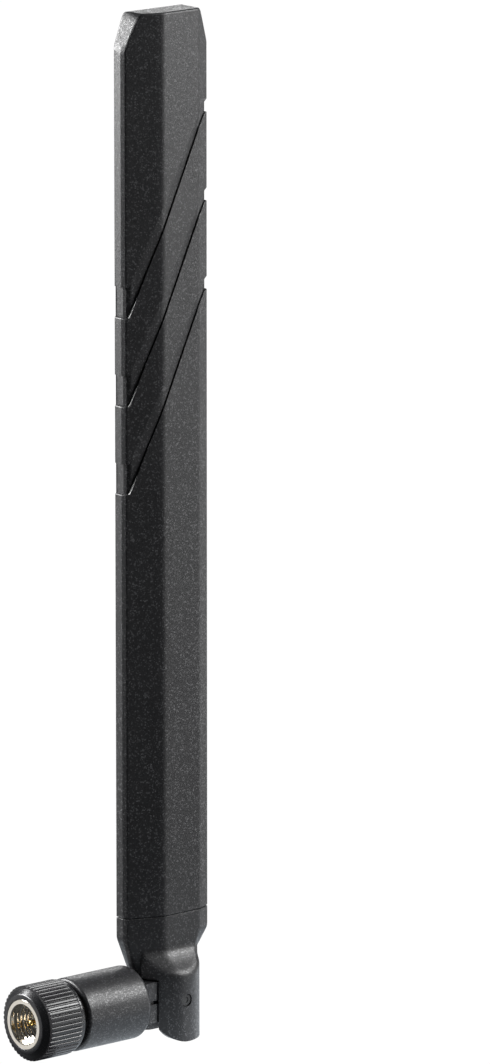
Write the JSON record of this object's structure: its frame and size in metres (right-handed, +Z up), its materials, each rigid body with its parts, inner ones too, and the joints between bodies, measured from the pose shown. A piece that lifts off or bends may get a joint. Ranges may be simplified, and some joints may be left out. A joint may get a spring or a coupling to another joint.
{
  "type": "omnidirectional blade antenna",
  "caption": "Hinged blade antenna: a flat moulded blade on a tilting yoke, a round swivel arm and a fluted screw-on coaxial plug.",
  "frame": {"origin": "centre of the plug's mouth, on the axis of the coupling nut", "axes": "+Y along the arm from the mouth to the hinge, the mouth faces -Y; X parallel to the hinge axis, the bevelled front of the blade faces +X; +Z up along the blade, as bent to 90 degrees"},
  "size_m": [0.012, 0.0371, 0.1652],
  "materials": {
    "blade_plastic": "fine spark-eroded texture, satin black",
    "yoke_plastic": "fine spark-eroded texture, satin black",
    "arm_plastic": "satin black",
    "grip_plastic": "semi-gloss black",
    "pin_plastic": "satin black",
    "nickel": "nickel plate over turned brass",
    "gold": "gold plate",
    "spring_steel": "bright spring steel",
    "ptfe": "waxy white",
    "cable_jacket": "smooth black",
    "tinned_copper": "tinned braid",
    "silvered_wire": "silvered wire",
    "board": "green solder mask over glass fibre",
    "copper": "etched copper",
    "solder": "bright solder",
    "foam": "open-cell foam"
  },
  "bodies": {
    "plug": {"connector_body": "nickel", "insulator": "ptfe", "centre_contact": "gold", "nut_snap_ring": "spring_steel", "swivel_clip": "spring_steel", "crimp_ferrule": "nickel", "coax_jacket_lower": "cable_jacket", "coax_braid_lower": "tinned_copper", "coax_dielectric_lower": "ptfe", "coax_conductor_lower": "silvered_wire"},
    "nut": {"coupling_nut": "nickel", "grip_sleeve": "grip_plastic"},
    "arm": {"arm_body": "arm_plastic", "coax_bend": "cable_jacket"},
    "blade": {"radome": "blade_plastic", "hinge_yoke": "yoke_plastic", "hinge_pins": "pin_plastic", "circuit_board": "board", "lower_element": "copper", "upper_element": "copper", "solder_ground": "solder", "solder_signal": "solder", "foam_pads": "foam", "coax_jacket_upper": "cable_jacket", "coax_braid_upper": "tinned_copper", "coax_dielectric_upper": "ptfe", "coax_conductor_upper": "silvered_wire"}
  },
  "joints": [
    {"name": "nut_spin", "type": "hinge", "parent": "plug", "child": "nut", "pos_m": [0, 0, 0], "axis": [0, 1, 0], "continuous": true},
    {"name": "arm_swivel", "type": "hinge", "parent": "plug", "child": "arm", "pos_m": [0, 0, 0], "axis": [0, 1, 0], "range_deg": [-180, 180]},
    {"name": "blade_tilt", "type": "hinge", "parent": "arm", "child": "blade", "pos_m": [0, 0.02905, 0], "axis": [-1, 0, 0], "range_deg": [0, 90], "deforming": ["coax_bend"]}
  ]
}
